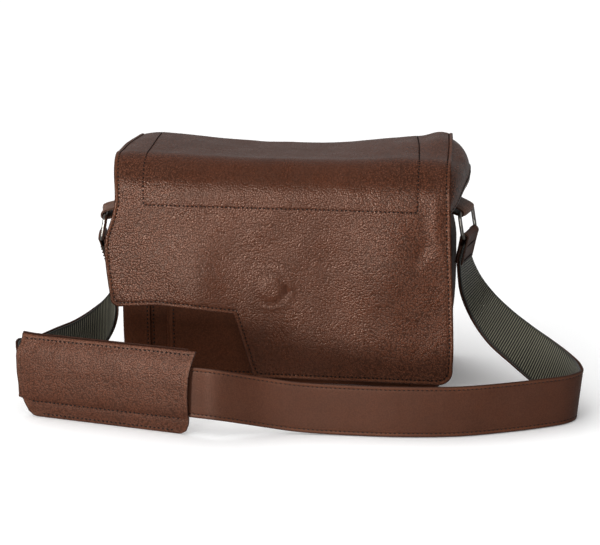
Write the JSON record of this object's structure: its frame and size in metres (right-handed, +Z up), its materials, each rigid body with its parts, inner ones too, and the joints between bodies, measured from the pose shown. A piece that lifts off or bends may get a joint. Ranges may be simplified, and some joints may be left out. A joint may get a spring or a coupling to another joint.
{
  "type": "camera bag",
  "caption": "Leather messenger camera bag with a stepped flap over the top and front, a padded insert, side rings and a webbing-backed shoulder strap with a sliding pad.",
  "frame": {"origin": "middle of the base panel's underside, on the floor the bag stands on", "axes": "+X to the right as the flap is faced, along the bag's width; -Y is the front, where the flap hangs; +Z up"},
  "size_m": [0.5591, 0.3124, 0.2404],
  "materials": {
    "brown_leather": "pebbled full-grain, satin",
    "dark_lining": "plain woven, matte",
    "grey_webbing": "cross-ribbed webbing, matte",
    "grey_padding": "foam covered with soft loop fabric, matte",
    "stiffener_board": "fibre board, matte",
    "gunmetal_steel": "dark nickel, satin"
  },
  "bodies": {
    "bag_body": {"base_panel": "brown_leather", "base_board": "stiffener_board", "front_panel": "brown_leather", "back_panel": "brown_leather", "gusset_left": "brown_leather", "gusset_right": "brown_leather", "corner_band_left": "brown_leather", "corner_band_right": "brown_leather", "shell_lining": "dark_lining", "camera_insert": "grey_padding", "pocket_panel": "brown_leather", "pocket_gusset_left": "brown_leather", "pocket_gusset_right": "brown_leather", "pocket_floor": "brown_leather", "snap_socket": "gunmetal_steel", "flap_anchor": "brown_leather", "rear_pocket_panel": "brown_leather", "rear_zip_tape_lower": "dark_lining", "rear_zip_tape_upper": "dark_lining", "rear_zip_chain": "gunmetal_steel", "tab_left": "brown_leather", "tab_right": "brown_leather", "strap_leather": "brown_leather", "strap_webbing": "grey_webbing"},
    "flap_top": {"flap_top_leather": "brown_leather", "flap_stiffener": "stiffener_board", "flap_top_lining": "dark_lining", "ear_left": "brown_leather", "ear_right": "brown_leather"},
    "flap_front": {"flap_front_leather": "brown_leather", "flap_front_lining": "dark_lining", "snap_stud": "gunmetal_steel"},
    "ring_left": {"ring_left": "gunmetal_steel", "strap_end_left": "brown_leather"},
    "ring_right": {"ring_right": "gunmetal_steel", "strap_end_right": "brown_leather"},
    "shoulder_pad": {"pad_front_cover": "brown_leather", "pad_back_cover": "brown_leather", "pad_foam": "grey_padding"},
    "zip_slider": {"zip_slider": "gunmetal_steel"},
    "zip_pull": {"zip_pull": "gunmetal_steel"},
    "divider_left": {"divider_left": "grey_padding"},
    "divider_right": {"divider_right": "grey_padding"}
  },
  "joints": [
    {"name": "flap_lift", "type": "hinge", "parent": "bag_body", "child": "flap_top", "pos_m": [0, 0.0708, 0.238], "axis": [-1, 0, 0], "range_deg": [0, 180]},
    {"name": "flap_fold", "type": "hinge", "parent": "flap_top", "child": "flap_front", "pos_m": [0, -0.078, 0.186], "axis": [-1, 0, 0], "range_deg": [0, 150]},
    {"name": "ring_left_swing", "type": "hinge", "parent": "bag_body", "child": "ring_left", "pos_m": [-0.198, 0, 0.165], "axis": [-0.2079, 0.9781, 0], "range_deg": [-4, 25]},
    {"name": "ring_right_swing", "type": "hinge", "parent": "bag_body", "child": "ring_right", "pos_m": [0.187, 0, 0.178], "axis": [-0.2079, -0.9781, 0], "range_deg": [-4, 25]},
    {"name": "pad_slide", "type": "slide", "parent": "bag_body", "child": "shoulder_pad", "axis": [0.9816, -0.1908, 0], "range_m": [0, 0.018]},
    {"name": "zip_slide", "type": "slide", "parent": "bag_body", "child": "zip_slider", "axis": [1, 0, 0], "range_m": [0, 0.25]},
    {"name": "zip_pull_swing", "type": "hinge", "parent": "zip_slider", "child": "zip_pull", "pos_m": [-0.126, 0.0741, 0.1625], "axis": [1, 0, 0], "range_deg": [0, 110]},
    {"name": "divider_left_slide", "type": "slide", "parent": "bag_body", "child": "divider_left", "axis": [1, 0, 0], "range_m": [-0.04, 0.03]},
    {"name": "divider_right_slide", "type": "slide", "parent": "bag_body", "child": "divider_right", "axis": [1, 0, 0], "range_m": [-0.03, 0.04]}
  ]
}
